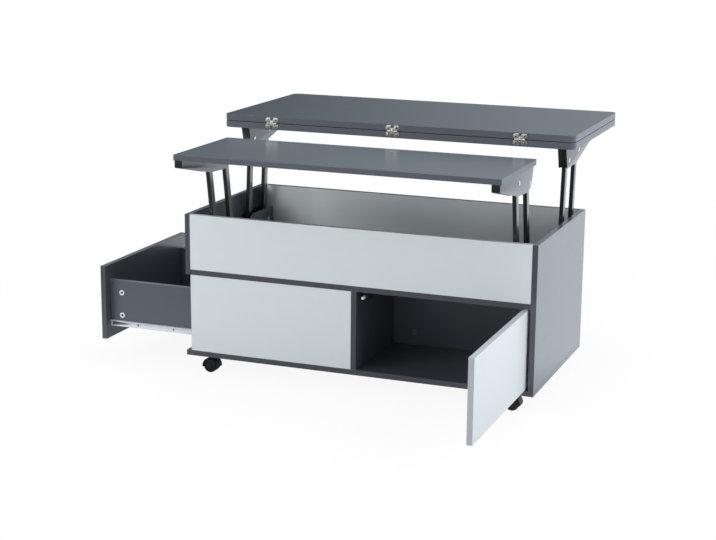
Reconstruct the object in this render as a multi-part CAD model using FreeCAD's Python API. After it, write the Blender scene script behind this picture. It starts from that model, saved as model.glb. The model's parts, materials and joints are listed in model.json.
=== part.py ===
import FreeCAD, Part
import os
from math import cos, radians, sin, tan

# Convertible coffee and dining table, standing open as a two-level table.
# Lengths in millimetres, angles in degrees. X runs along the front, Y to the back, Z up.

# Case boards
case_w = 1000.0
case_d = 510.0
board_t = 15.0
lower_h = 217.0            # clear height of the drawer and door bays
upper_h = 155.0            # depth of the storage box above the shelf
compartment_d = 280.0      # inside depth behind the door, with an open niche at the back of it
edge_r = 0.7               # eased board edges
reveal = 2.0               # gap round the drawer front and the door

# Casters
caster_inset_x = 76.0
caster_inset_y = 33.0
wheel_r = 19.0
wheel_w = 12.0
wheel_edge_r = 3.0
axle_r = 3.0
axle_hub_r = 6.6
hood_gap = 1.6             # tread to hood
hood_t = 2.2
hood_web = 7.0
hood_below = 4.0           # the hood ends this far below the axle
swivel_gap = 5.7           # hood to plate
swivel_trail = 14.0
swivel_pin_r = 4.0
swivel_pin_len = 9.5
swivel_boss_r = 8.5
caster_plate = 40.0
caster_plate_t = 2.5
caster_plate_r = 5.0
caster_turn = {"front_left": 90.0, "front_right": -90.0, "rear_left": 115.0, "rear_right": -70.0}

# Tops
leaf_w = 1030.0
leaf_d = 510.0
leaf_t = 18.0
leaf_seam = 1.5            # gap between the folded leaves, filled by the bumpers
leaf_corner_r = 18.0
bumper_r = 8.0
bumper_inset = 60.0
support_d = 325.0
support_t = 15.0
support_corner_r = 4.0
support_over = 4.0         # support top past the front lift's brackets at each end

# Lift arms are pressed steel channels, their brackets bent sheet
arm_w = 11.0
arm_d = 20.0
arm_sheet = 1.5
sheet = 2.0
pin_r = 4.0
pin_head_r = 7.0
pin_head_t = 1.5
collar_r = 6.5
stop_r = 3.0
stop_clear = 0.2
run_clear = 0.05           # radial running clearance on every pin
side_clear = 0.3           # end float beside what turns
screw_r = 2.0
screw_len = 10.0
screw_head_r = 4.0
screw_head_t = 2.4
lift_gap = 7.0             # between the pin heads of the two lifts

# Rear lift
rear_arm_len = 271.5
rear_arm_deg = 85.0
rear_link_run = 106.0      # lead pivot to trail pivot
rear_link_rise = 14.0
rear_base_inset = 149.7    # back panel to the lead pivot
rear_base_rise = 45.5      # shelf to the lead pivot
rear_side_gap = 3.0        # side panel to the bracket
rear_top_channel = 24.0
rear_base_channel = 30.0
rear_flange_inset = 57.0   # leaf end to the inner edge of the flange that carries it
rear_pivot_back = 83.0     # leaf front edge to the lead pivot
rear_pivot_drop = 41.0     # leaf underside to the lead pivot
rear_foot_ahead = 30.0     # base bracket in front of the lead pivot
rear_foot_behind = 33.0    # and behind the trail pivot
rear_foot_over = 37.0      # and above the trail pivot
rear_foot_nose_r = 34.0
rear_web_inset = 43.0      # top bracket behind the leaf's front edge
rear_web_ahead = 21.0      # its web in front of the lead pivot
rear_cheek_under = 21.0    # its cheek below the lead pivot
rear_cheek_flat = 30.0     # where the lower edge starts to rise, in front of the trail pivot
rear_tail = 172.0          # its tail behind the trail pivot
rear_tail_h = 14.0
rear_stop_up = 14.0        # stop stud above the trail pivot

# Front lift
front_arm_len = 240.0
front_arm_deg = 100.0
front_link_run = 103.0
front_link_rise = -18.0
front_base_inset = 36.7    # front panel to the lead pivot
front_base_rise = 72.7
front_channel = 22.0
front_pivot_back = 175.0
front_pivot_drop = 24.0
front_foot_ahead = 27.0
front_foot_over = 20.0     # base bracket above the lead pivot
front_foot_past = 8.0      # where its upper edge starts to fall
front_foot_low = 13.0      # and its height above the trail pivot
front_foot_behind = 20.0
front_web_inset = 2.0
front_web_h = 20.0
front_belly_ahead = 8.0    # deepest line of the top bracket, in front of the lead pivot
front_belly = 33.0         # and below it
front_keel_ahead = 20.0    # deepest line near the trail pivot
front_keel = 20.0
front_heel_behind = 16.0
front_heel = 9.0
front_tail = 33.0
front_stop_up = 12.0
foot_r = 12.0
cheek_r = 16.0
web_r = 4.0

# Leaf hinges
hinge_pitch = 365.0
hinge_out = 2.5            # hinge axis in front of the leaf edges
hinge_plate_w = 40.0
hinge_plate_h = 13.0
hinge_plate_t = 1.8
hinge_plate_r = 6.2
hinge_notch_w = 7.0        # gap between the two lobes of a plate
hinge_notch_floor = 5.0    # plate left between the gap and the knuckle
hinge_knuckle_r = 2.2
hinge_knuckle_len = 10.0
hinge_pin_r = 1.1
hinge_screw_pitch = 25.0
hinge_screw_r = 1.4
hinge_screw_head_r = 2.6
hinge_screw_len = 12.0

# Drawer
drawer_out = 270.0         # how far it stands open
drawer_back_gap = 27.5     # closed drawer to the divider
drawer_headroom = 46.0     # drawer sides to the shelf
drawer_side_t = 15.0
drawer_lift = 37.0         # bottom board to the drawer sides
drawer_base_t = 4.0
drawer_base_rise = 8.0
drawer_groove = 5.0
rail_space = 13.0          # drawer side to the board beside it
rail_sheet = 1.2
rail_h = 17.2
rail_lip_clear = 2.8       # drawer rail lip to the cabinet rail
rail_end = 5.0             # drawer rail stops short of the drawer back
rail_hole_r = 2.5
rail_holes = (87.0, 200.0, 330.0)
cabinet_rail_drop = 4.8    # cabinet rail floor below the drawer rail
cabinet_rail_over = 1.8    # cabinet rail roof above the drawer rail
cabinet_rail_clear = 1.8   # its flanges to the drawer rail
roller_r = 7.2
roller_side = 1.3          # roller to the rails beside it
roller_clear = 0.3
roller_inset = 13.0
roller_edge_r = 0.8
stud_r = 2.0
stud_clear = 0.8
cam_r = 7.5
cam_in = 2.4
cam_proud = 0.6
cam_from_front = 36.0
cam_heights = (32.0, 98.0)

# Door and push latch
door_open_deg = 90.0
door_pivot_edge = 10.0     # pivot to the hinge edge
door_pivot_face = 5.0      # pivot to the outer face
door_pin_r = 2.0
door_pin_grip = 12.0
door_pin_out = 9.0
bush_wall = 2.0
bush_lip = 0.8
bush_lip_t = 1.0
bush_len = 10.0
latch_x = 17.0             # divider face to the plunger axis
latch_drop = 17.0          # shelf to the plunger axis
latch_body_w = 18.0
latch_body_set = 6.0       # body behind the closed door
latch_wall = 18.0          # body behind the plunger's bore
plunger_r = 4.0
plunger_tip_r = 1.4
plunger_out = 12.3         # plunger tip in front of the closed door's inner face
plunger_len = 50.0

# Levels and inner faces of the case
caster_h = 2 * wheel_r + hood_gap + hood_t + swivel_gap + caster_plate_t
bottom_z0 = caster_h
bottom_z1 = bottom_z0 + board_t
shelf_z0 = bottom_z1 + lower_h
shelf_z1 = shelf_z0 + board_t
rim_z = shelf_z1 + upper_h
side_x = case_w / 2
inner_x = side_x - board_t
front_y = -case_d / 2
back_y = case_d / 2
front_in = front_y + board_t
back_in = back_y - board_t
divider_x = board_t / 2
niche_y = front_in + compartment_d + board_t


def polar(start, length, degrees):
    y, z = start
    return (y + length * cos(radians(degrees)), z + length * sin(radians(degrees)))


# Lift pivots as (y, z)
rear_lead_base = (back_in - rear_base_inset, shelf_z1 + rear_base_rise)
rear_trail_base = (rear_lead_base[0] + rear_link_run, rear_lead_base[1] + rear_link_rise)
rear_lead_top = polar(rear_lead_base, rear_arm_len, rear_arm_deg)
rear_trail_top = polar(rear_trail_base, rear_arm_len, rear_arm_deg)
front_lead_base = (front_in + front_base_inset, shelf_z1 + front_base_rise)
front_trail_base = (front_lead_base[0] + front_link_run, front_lead_base[1] + front_link_rise)
front_lead_top = polar(front_lead_base, front_arm_len, front_arm_deg)
front_trail_top = polar(front_trail_base, front_arm_len, front_arm_deg)

# Planes of the right-hand lift gear; the support top just fits between the rear brackets
rear_out_x = inner_x - rear_side_gap
rear_arm_x = rear_out_x - rear_top_channel / 2
rear_top_in_x = rear_out_x - rear_top_channel
rear_flange_x = min(rear_top_in_x, leaf_w / 2 - rear_flange_inset)
rear_base_in_x = rear_out_x - rear_base_channel
front_out_x = rear_base_in_x - 2 * pin_head_t - lift_gap
front_arm_x = front_out_x - front_channel / 2
front_in_x = front_out_x - front_channel

# Raised tops
support_w = 2 * (front_out_x + support_over)
support_y0 = front_lead_top[0] - front_pivot_back
support_z0 = front_lead_top[1] + front_pivot_drop
leaf_y0 = rear_lead_top[0] - rear_pivot_back
leaf_y1 = leaf_y0 + leaf_d
leaf_z0 = rear_lead_top[1] + rear_pivot_drop
seam_z = leaf_z0 + leaf_t + leaf_seam / 2
hinge_axis_y = leaf_y0 - hinge_out

# Door in its closed place, and its pivot as (x, y)
door_x0 = divider_x + reveal
door_x1 = inner_x - reveal
door_z0 = bottom_z1 + reveal
door_z1 = shelf_z0 - reveal
door_pivot = (door_x1 - door_pivot_edge, front_y + door_pivot_face)

# Drawer in its open place; roller centres as (x, z)
drawer_len = inner_x - divider_x - drawer_back_gap
drawer_x0 = -inner_x - drawer_out
drawer_x1 = drawer_x0 + drawer_len
drawer_z0 = bottom_z1 + drawer_lift
drawer_z1 = shelf_z0 - drawer_headroom
drawer_near_y = front_in + rail_space
drawer_far_y = back_in - rail_space
rail_z0 = drawer_z0 - rail_sheet
rail_lip = rail_space - 2 * rail_sheet - rail_lip_clear
roller_w = rail_space - 2 * rail_sheet - 2 * roller_side
stud_len = rail_space - 2 * rail_sheet - stud_clear
cabinet_rail_x0 = -inner_x + reveal
cabinet_rail_x1 = drawer_x1 + drawer_out
cabinet_rail_z0 = rail_z0 - cabinet_rail_drop
cabinet_roller_at = (cabinet_rail_x0 + roller_inset,
                     rail_z0 + rail_h - rail_sheet - roller_clear - roller_r)
drawer_roller_at = (drawer_x1 - rail_end - roller_inset,
                    cabinet_rail_z0 + rail_sheet + roller_clear + roller_r)

# Push latch
plunger_x = divider_x + latch_x
plunger_z = shelf_z0 - latch_drop
plunger_tip_y = front_in - plunger_out

# The origin is on the floor, under the middle of the open table's overall box
open_x = (drawer_x0 - board_t, leaf_w / 2)
open_y = (door_pivot[1] - (door_pivot[0] - door_x0), leaf_y1)

X = FreeCAD.Vector(1, 0, 0)
Y = FreeCAD.Vector(0, 1, 0)
Z = FreeCAD.Vector(0, 0, 1)
origin = FreeCAD.Vector(sum(open_x) / 2, sum(open_y) / 2, 0)
parts = {}
near_parallel = cos(radians(25.0))
same_point = 1e-6


def vec(x, y, z):
    return FreeCAD.Vector(x, y, z)


def box(x0, x1, y0, y1, z0, z1):
    low = vec(min(x0, x1), min(y0, y1), min(z0, z1))
    return Part.makeBox(abs(x1 - x0), abs(y1 - y0), abs(z1 - z0), low)


def board(x0, x1, y0, y1, z0, z1):
    solid = box(x0, x1, y0, y1, z0, z1)
    return solid.makeFillet(edge_r, solid.Edges)


def rod(start, axis, radius, length):
    return Part.makeCylinder(radius, length, start, axis)


def along(shape, axis):
    """Edges of a shape that start out along an axis, give or take a few degrees."""
    return [e for e in shape.Edges if abs(e.tangentAt(e.FirstParameter).dot(axis)) > near_parallel]


def joined(shapes):
    return shapes[0].fuse(shapes[1:]).removeSplitter()


def mirrored(shape, side):
    return shape if side > 0 else shape.mirror(vec(0, 0, 0), X)


def outline(corners):
    """Closed wire in the YZ plane through (y, z, radius) corners, with tangent arcs at the round ones."""
    ends = []
    for i, (y, z, r) in enumerate(corners):
        here = vec(0, y, z)
        back = vec(0, *corners[i - 1][:2]) - here
        onward = vec(0, *corners[(i + 1) % len(corners)][:2]) - here
        if r <= 0:
            ends.append((here, None, here))
            continue
        half = back.getAngle(onward) / 2
        back.normalize()
        onward.normalize()
        inward = back + onward
        inward.normalize()
        reach = r / tan(half)
        ends.append((here + back * reach, here + inward * (r / sin(half) - r), here + onward * reach))
    edges = []
    for i, (start, middle, end) in enumerate(ends):
        if middle is not None:
            edges.append(Part.Arc(start, middle, end).toShape())
        following = ends[(i + 1) % len(ends)][0]
        if (following - end).Length > same_point:
            edges.append(Part.LineSegment(end, following).toShape())
    return Part.Wire(edges)


def prism(corners, x0, x1):
    """Solid between the planes x0 and x1 with the given outline."""
    face = Part.Face(outline(corners))
    face.translate(X * x0)
    return face.extrude(X * (x1 - x0))


def case_boards():
    parts["bottom_board"] = board(-side_x, side_x, front_y, back_y, bottom_z0, bottom_z1)
    parts["right_side_panel"] = board(inner_x, side_x, front_y, back_y, bottom_z1, rim_z)
    parts["left_side_panel"] = board(-side_x, -inner_x, front_y, back_y, shelf_z0, rim_z)
    parts["middle_shelf"] = board(-inner_x, inner_x, front_y, back_y, shelf_z0, shelf_z1)
    parts["centre_divider"] = board(-divider_x, divider_x, front_y, back_in, bottom_z1, shelf_z0)
    drawer_side = board(-side_x, divider_x, back_in, back_y, bottom_z1, shelf_z0)
    door_side = board(divider_x, inner_x, niche_y - board_t, niche_y, bottom_z1, shelf_z0)
    parts["lower_back_panels"] = Part.makeCompound([drawer_side, door_side])
    parts["upper_back_panel"] = board(-inner_x, inner_x, back_in, back_y, shelf_z1, rim_z)
    parts["upper_front_panel"] = board(-inner_x, inner_x, front_y, front_in, shelf_z1, rim_z)
    parts["lower_front_panel"] = board(-inner_x, -divider_x, front_y, front_in, bottom_z1, shelf_z0)


def lift_arm(x, base, length, degrees):
    """Channel arm with its web to the front, drawn upright and then turned about the base pivot."""
    y, z = base
    r = arm_d / 2
    corners = [(y - r, z - r, r), (y + r, z - r, r), (y + r, z + length + r, r), (y - r, z + length + r, r)]
    arm = prism(corners, x - arm_w / 2, x + arm_w / 2)
    hollow = box(x - arm_w / 2 + arm_sheet, x + arm_w / 2 - arm_sheet,
                 y - r + arm_sheet, y + arm_d, z - arm_d, z + length + arm_d)
    bores = [rod(vec(x - arm_w, y, at), X, pin_r + run_clear, 2 * arm_w) for at in (z, z + length)]
    arm = arm.cut([hollow] + bores)
    arm.rotate(vec(x, y, z), X, degrees - 90)
    return arm


def pivot_pin(pivot, x0, x1, arm_x):
    """Riveted pin through both cheeks, with collars that keep the arm in its plane."""
    y, z = pivot
    arm_x0 = arm_x - arm_w / 2 - side_clear
    arm_x1 = arm_x + arm_w / 2 + side_clear
    return joined([rod(vec(x0 - pin_head_t, y, z), X, pin_r, x1 - x0 + 2 * pin_head_t),
                   rod(vec(x0 - pin_head_t, y, z), X, pin_head_r, pin_head_t),
                   rod(vec(x1, y, z), X, pin_head_r, pin_head_t),
                   rod(vec(x0 + sheet, y, z), X, collar_r, arm_x0 - x0 - sheet),
                   rod(vec(arm_x1, y, z), X, collar_r, x1 - sheet - arm_x1)])


def pan_screw(seat, axis):
    """Pan head screw: the head stands on the seat along the axis, the shank is sunk against it."""
    return joined([rod(seat, axis, screw_head_r, screw_head_t),
                   rod(seat - axis * screw_len, axis, screw_r, screw_len)])


def pin_holes(pivots, x0, x1):
    return [rod(vec(x0 - sheet, *pivot), X, pin_r, x1 - x0 + 2 * sheet) for pivot in pivots]


def base_bracket(corners, x0, x1, pivots, stop):
    """Channel that stands on the shelf: foot below, a cheek on each side of the arms, and a stop stud."""
    ys = [corner[0] for corner in corners]
    pocket = box(x0 + sheet, x1 - sheet, min(ys) - sheet, max(ys) + sheet, shelf_z1 + sheet, rim_z)
    bracket = joined([prism(corners, x0, x1).cut(pocket), rod(vec(x0, *stop), X, stop_r, x1 - x0)])
    return bracket.cut(pin_holes(pivots, x0, x1))


def top_bracket(corners, x0, x1, pivots):
    """Channel under a top: flange above, web in front, a cheek on each side, open below and behind."""
    (web_y, top_z, _), (web_foot_y, web_foot_z, _) = corners[:2]
    behind = max(corner[0] for corner in corners) + arm_d
    below = min(corner[1] for corner in corners) - arm_d
    hollow = [(web_y + sheet, top_z - sheet, 0), (web_foot_y + sheet, web_foot_z, 0),
              (web_foot_y + sheet, below, 0), (behind, below, 0), (behind, top_z - sheet, 0)]
    bracket = prism(corners, x0, x1).cut(prism(hollow, x0 + sheet, x1 - sheet))
    return bracket.cut(pin_holes(pivots, x0, x1))


def stop_place(pivot, degrees, up, side):
    """Centre of the stop stud that a raised arm leans on: side 1 behind the arm, -1 in front of it."""
    return polar(polar(pivot, up, degrees), arm_d / 2 + stop_clear + stop_r, degrees - 90 * side)


def rear_lift():
    """Rear lift of one side as lists of right-hand solids under their node names."""
    (lead_y, lead_z), (trail_y, trail_z) = rear_lead_base, rear_trail_base
    foot_top = trail_z + rear_foot_over
    foot = [(lead_y - rear_foot_ahead, shelf_z1, 0), (lead_y - rear_foot_ahead, foot_top, rear_foot_nose_r),
            (trail_y + rear_foot_behind, foot_top, foot_r), (trail_y + rear_foot_behind, shelf_z1, 0)]
    stop = stop_place(rear_trail_base, rear_arm_deg, rear_stop_up, 1)
    base = base_bracket(foot, rear_base_in_x, rear_out_x, (rear_lead_base, rear_trail_base), stop)
    seats = (lead_y - rear_foot_ahead / 2, (lead_y + trail_y) / 2, trail_y + rear_foot_behind / 2)
    base_x = (rear_base_in_x + rear_out_x) / 2
    base_screws = [pan_screw(vec(base_x, y, shelf_z1 + sheet), Z) for y in seats]

    (lead_y, lead_z), (trail_y, trail_z) = rear_lead_top, rear_trail_top
    web_y = leaf_y0 + rear_web_inset
    keel_z = lead_z - rear_cheek_under
    tail_y = trail_y + rear_tail
    cheek = [(web_y, leaf_z0, 0), (lead_y - rear_web_ahead, keel_z, web_r),
             (trail_y - rear_cheek_flat, keel_z, cheek_r), (tail_y, leaf_z0 - rear_tail_h, web_r),
             (tail_y, leaf_z0, 0)]
    flange = box(rear_flange_x, rear_out_x, web_y + sheet, tail_y, leaf_z0 - sheet, leaf_z0)
    top = joined([top_bracket(cheek, rear_top_in_x, rear_out_x, (rear_lead_top, rear_trail_top)), flange])
    seats = (web_y + sheet + 2 * screw_head_r, trail_y + rear_tail / 4, tail_y - 2 * screw_head_r)
    seat_x = rear_flange_x + rear_top_channel / 2
    top_screws = [pan_screw(vec(seat_x, y, leaf_z0 - sheet), -Z) for y in seats]
    return {
        "rear_base_brackets": [base.cut(base_screws)],
        "base_bracket_screws": base_screws,
        "base_pivot_pins": [pivot_pin(p, rear_base_in_x, rear_out_x, rear_arm_x)
                            for p in (rear_lead_base, rear_trail_base)],
        "rear_top_bracket": [top.cut(top_screws)],
        "lower_leaf_screws": top_screws,
        "rear_top_pins": [pivot_pin(p, rear_top_in_x, rear_out_x, rear_arm_x)
                          for p in (rear_lead_top, rear_trail_top)],
        "rear_lead_arm": [lift_arm(rear_arm_x, rear_lead_base, rear_arm_len, rear_arm_deg)],
        "rear_trail_arm": [lift_arm(rear_arm_x, rear_trail_base, rear_arm_len, rear_arm_deg)],
    }


def front_lift():
    """Front lift of one side as lists of right-hand solids under their node names."""
    (lead_y, lead_z), (trail_y, trail_z) = front_lead_base, front_trail_base
    foot_y0 = lead_y - front_foot_ahead
    foot_y1 = trail_y + front_foot_behind
    foot = [(foot_y0, shelf_z1, 0), (foot_y0, lead_z + front_foot_over, foot_r),
            (lead_y + front_foot_past, lead_z + front_foot_over, foot_r),
            (foot_y1, trail_z + front_foot_low, foot_r), (foot_y1, shelf_z1, 0)]
    stop = stop_place(front_lead_base, front_arm_deg, front_stop_up, -1)
    base = base_bracket(foot, front_in_x, front_out_x, (front_lead_base, front_trail_base), stop)
    base_screws = [pan_screw(vec(front_arm_x, y, shelf_z1 + sheet), Z)
                   for y in (foot_y0 + front_foot_ahead / 2, foot_y1 - front_foot_behind / 2)]

    (lead_y, lead_z), (trail_y, trail_z) = front_lead_top, front_trail_top
    web_y = support_y0 + front_web_inset
    tail_y = trail_y + front_tail
    cheek = [(web_y, support_z0, 0), (web_y, support_z0 - front_web_h, web_r),
             (lead_y - front_belly_ahead, lead_z - front_belly, cheek_r),
             (trail_y - front_keel_ahead, trail_z - front_keel, cheek_r),
             (trail_y + front_heel_behind, trail_z - front_heel, foot_r), (tail_y, support_z0, 0)]
    top = top_bracket(cheek, front_in_x, front_out_x, (front_lead_top, front_trail_top))
    seats = (web_y + sheet + 2 * screw_head_r, (lead_y + trail_y) / 2, tail_y - 2 * screw_head_r)
    top_screws = [pan_screw(vec(front_arm_x, y, support_z0 - sheet), -Z) for y in seats]
    return {
        "front_base_brackets": [base.cut(base_screws)],
        "base_bracket_screws": base_screws,
        "base_pivot_pins": [pivot_pin(p, front_in_x, front_out_x, front_arm_x)
                            for p in (front_lead_base, front_trail_base)],
        "front_top_bracket": [top.cut(top_screws)],
        "support_top_screws": top_screws,
        "front_top_pins": [pivot_pin(p, front_in_x, front_out_x, front_arm_x)
                           for p in (front_lead_top, front_trail_top)],
        "front_lead_arm": [lift_arm(front_arm_x, front_lead_base, front_arm_len, front_arm_deg)],
        "front_trail_arm": [lift_arm(front_arm_x, front_trail_base, front_arm_len, front_arm_deg)],
    }


def lifts():
    """Arms and top brackets become a node for each side, the other gear one node for both sides."""
    gear = {}
    for lift in (rear_lift(), front_lift()):
        for name, solids in lift.items():
            for label, side in (("left", -1), ("right", 1)):
                one_each = name.endswith("_arm") or name.endswith("_top_bracket")
                node = f"{name}_{label}" if one_each else name
                gear.setdefault(node, []).extend(mirrored(solid, side) for solid in solids)
    for node, solids in gear.items():
        parts[node] = solids[0] if len(solids) == 1 else Part.makeCompound(solids)
    parts["middle_shelf"] = parts["middle_shelf"].cut(parts["base_bracket_screws"].Solids)


def slab(width, y0, y1, z0, z1, corner_r):
    """Top board with rounded plan corners and eased edges."""
    solid = box(-width / 2, width / 2, y0, y1, z0, z1)
    solid = solid.makeFillet(corner_r, along(solid, Z))
    upright = along(solid, Z)
    rims = [e for e in solid.Edges if not any(e.isSame(u) for u in upright)]
    return solid.makeFillet(edge_r, rims)


def hinge_plate(x, up):
    """Two-lobed plate on a leaf's edge with its share of the knuckle: the middle above, both ends below."""
    low = leaf_seam / 2 + hinge_knuckle_r
    half = hinge_plate_w / 2
    plate = box(x - half, x + half, leaf_y0 - hinge_plate_t, leaf_y0, low, low + hinge_plate_h)
    plate = plate.makeFillet(hinge_plate_r, along(plate, Y))
    plate = plate.cut(box(x - hinge_notch_w / 2, x + hinge_notch_w / 2, leaf_y0 - hinge_plate_t, leaf_y0,
                          low + hinge_notch_floor, low + hinge_plate_h))
    pitch = hinge_knuckle_len + side_clear
    pieces = [plate]
    for middle in ([x] if up else [x - pitch, x + pitch]):
        x0 = middle - hinge_knuckle_len / 2
        x1 = middle + hinge_knuckle_len / 2
        pieces.append(rod(vec(x0, hinge_axis_y, 0), X, hinge_knuckle_r, hinge_knuckle_len))
        pieces.append(box(x0, x1, leaf_y0 - hinge_plate_t, hinge_axis_y + hinge_knuckle_r,
                          0, low + hinge_notch_floor))
    solid = joined(pieces).cut(rod(vec(x - half, hinge_axis_y, 0), X, hinge_pin_r + run_clear, hinge_plate_w))
    if not up:
        solid = solid.mirror(vec(0, 0, 0), Z)
    solid.translate(Z * seam_z)
    return solid


def hinge_screws(x, up):
    """Two countersunk screws that hold a plate to a leaf's edge."""
    height = leaf_seam / 2 + hinge_knuckle_r + hinge_plate_h / 2
    sink = hinge_screw_head_r - hinge_screw_r
    screws = []
    for step in (-hinge_screw_pitch / 2, hinge_screw_pitch / 2):
        seat = vec(x + step, leaf_y0 - hinge_plate_t, seam_z + height if up else seam_z - height)
        head = Part.makeCone(hinge_screw_head_r, hinge_screw_r, sink, seat, Y)
        screws.append(joined([head, rod(seat, Y, hinge_screw_r, hinge_screw_len)]))
    return screws


def tops():
    top = slab(support_w, support_y0, support_y0 + support_d,
               support_z0, support_z0 + support_t, support_corner_r)
    parts["support_top"] = top.cut(parts["support_top_screws"].Solids)

    places = (-hinge_pitch, 0.0, hinge_pitch)
    lower_screws = [screw for x in places for screw in hinge_screws(x, False)]
    lower_screws += parts["lower_leaf_screws"].Solids
    upper_screws = [screw for x in places for screw in hinge_screws(x, True)]
    upper_z0 = leaf_z0 + leaf_t + leaf_seam
    lower = slab(leaf_w, leaf_y0, leaf_y1, leaf_z0, leaf_z0 + leaf_t, leaf_corner_r)
    upper = slab(leaf_w, leaf_y0, leaf_y1, upper_z0, upper_z0 + leaf_t, leaf_corner_r)
    reach = 1.5 * hinge_knuckle_len + side_clear
    pins = [rod(vec(x - reach, hinge_axis_y, seam_z), X, hinge_pin_r, 2 * reach) for x in places]
    pads = [rod(vec(x, y, leaf_z0 + leaf_t), Z, bumper_r, leaf_seam)
            for x in (bumper_inset - leaf_w / 2, leaf_w / 2 - bumper_inset)
            for y in (leaf_y0 + bumper_inset, leaf_y1 - bumper_inset)]
    parts["lower_leaf"] = lower.cut(lower_screws)
    parts["upper_leaf"] = upper.cut(upper_screws)
    parts["lower_leaf_screws"] = Part.makeCompound(lower_screws)
    parts["upper_leaf_screws"] = Part.makeCompound(upper_screws)
    parts["lower_hinge_plates"] = Part.makeCompound([hinge_plate(x, False).cut(lower_screws) for x in places])
    parts["upper_hinge_plates"] = Part.makeCompound([hinge_plate(x, True).cut(upper_screws) for x in places])
    parts["leaf_hinge_pins"] = Part.makeCompound(pins)
    parts["leaf_bumpers"] = Part.makeCompound(pads)


def stud(place, y_face, out):
    x, z = place
    return rod(vec(x, y_face, z), Y * out, stud_r, stud_len)


def drawer_rail(y_side, out):
    """Rail on a drawer side: angle under the side, outward lip for the cabinet roller, roller stud."""
    x0 = drawer_x0
    x1 = drawer_x1 - rail_end
    top = rail_z0 + rail_h
    face = y_side + out * rail_sheet
    web = box(x0, x1, y_side, face, rail_z0, top)
    under = box(x0, x1, face, y_side - out * drawer_side_t, rail_z0, drawer_z0)
    lip = box(x0, x1, face, face + out * rail_lip, top - rail_sheet, top)
    rail = joined([web, under, lip, stud(drawer_roller_at, face, out)])
    return rail.cut([rod(vec(x0 + run, y_side, rail_z0 + rail_h / 2), Y * out, rail_hole_r, rail_sheet)
                     for run in rail_holes])


def cabinet_rail(y_board, out):
    """Channel on a board beside the drawer, with the roller stud at its mouth."""
    x0 = cabinet_rail_x0
    x1 = cabinet_rail_x1
    z1 = rail_z0 + rail_h + cabinet_rail_over + rail_sheet
    face = y_board - out * rail_sheet
    lip = y_board - out * (rail_space - rail_sheet - cabinet_rail_clear)
    web = box(x0, x1, y_board, face, cabinet_rail_z0, z1)
    floor = box(x0, x1, y_board, lip, cabinet_rail_z0, cabinet_rail_z0 + rail_sheet)
    roof = box(x0, x1, y_board, lip, z1 - rail_sheet, z1)
    return joined([web, floor, roof, stud(cabinet_roller_at, face, -out)])


def roller(place, y_face, out):
    """Nylon roller beside a rail face, running on its stud."""
    x, z = place
    wheel = rod(vec(x, y_face + out * roller_side, z), Y * out, roller_r, roller_w)
    wheel = wheel.makeFillet(roller_edge_r, [e for e in wheel.Edges if e.Closed])
    return wheel.cut(rod(vec(x, y_face, z), Y * out, stud_r + run_clear, rail_space))


def drawer():
    base_z = drawer_z0 + drawer_base_rise
    near_in = drawer_near_y + drawer_side_t
    far_in = drawer_far_y - drawer_side_t
    base = box(drawer_x0 - drawer_groove, drawer_x1, near_in - drawer_groove, far_in + drawer_groove,
               base_z, base_z + drawer_base_t)
    cam_x = drawer_x0 + cam_from_front
    cams = [rod(vec(cam_x, y - out * cam_in, drawer_z0 + height), Y * out, cam_r, cam_in + cam_proud)
            for y, out in ((drawer_near_y, -1), (drawer_far_y, 1)) for height in cam_heights]
    front = board(drawer_x0 - board_t, drawer_x0, front_y, back_in - reveal, door_z0, door_z1)
    near = board(drawer_x0, drawer_x1, drawer_near_y, near_in, drawer_z0, drawer_z1)
    far = board(drawer_x0, drawer_x1, far_in, drawer_far_y, drawer_z0, drawer_z1)
    parts["drawer_front"] = front.cut(base)
    parts["drawer_sides"] = Part.makeCompound([side.cut([base] + cams) for side in (near, far)])
    parts["drawer_back"] = board(drawer_x1 - drawer_side_t, drawer_x1, near_in, far_in,
                                 base_z + drawer_base_t, drawer_z1)
    parts["drawer_bottom"] = base
    parts["drawer_cam_locks"] = Part.makeCompound(cams)
    parts["drawer_rails"] = Part.makeCompound([drawer_rail(drawer_near_y, -1), drawer_rail(drawer_far_y, 1)])
    parts["cabinet_rails"] = Part.makeCompound([cabinet_rail(front_in, -1), cabinet_rail(back_in, 1)])
    parts["drawer_rollers"] = Part.makeCompound([roller(drawer_roller_at, drawer_near_y - rail_sheet, -1),
                                                 roller(drawer_roller_at, drawer_far_y + rail_sheet, 1)])
    parts["cabinet_rollers"] = Part.makeCompound([roller(cabinet_roller_at, front_in + rail_sheet, 1),
                                                  roller(cabinet_roller_at, back_in - rail_sheet, -1)])


def door():
    x, y = door_pivot
    pin_len = door_pin_out + door_pin_grip
    pins = [rod(vec(x, y, door_z0 - door_pin_out), Z, door_pin_r, pin_len),
            rod(vec(x, y, door_z1 - door_pin_grip), Z, door_pin_r, pin_len)]
    panel = board(door_x0, door_x1, front_y, front_in, door_z0, door_z1).cut(pins)
    bush_r = door_pin_r + run_clear + bush_wall
    bushes = []
    for node, face, up in (("bottom_board", bottom_z1, 1), ("middle_shelf", shelf_z0, -1)):
        foot = vec(x, y, face - up * bush_len)
        body = rod(foot, Z * up, bush_r, bush_len)
        lip = rod(vec(x, y, face), Z * up, bush_r + bush_lip, bush_lip_t)
        bore = rod(foot, Z * up, door_pin_r + run_clear, bush_len + bush_lip_t)
        bushes.append(joined([body, lip]).cut(bore))
        parts[node] = parts[node].cut(body)
    for shape in [panel] + pins:
        shape.rotate(vec(x, y, 0), Z, door_open_deg)
    parts["door_panel"] = panel
    parts["door_pivot_pins"] = Part.makeCompound(pins)
    parts["door_pivot_bushes"] = Part.makeCompound(bushes)


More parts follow.
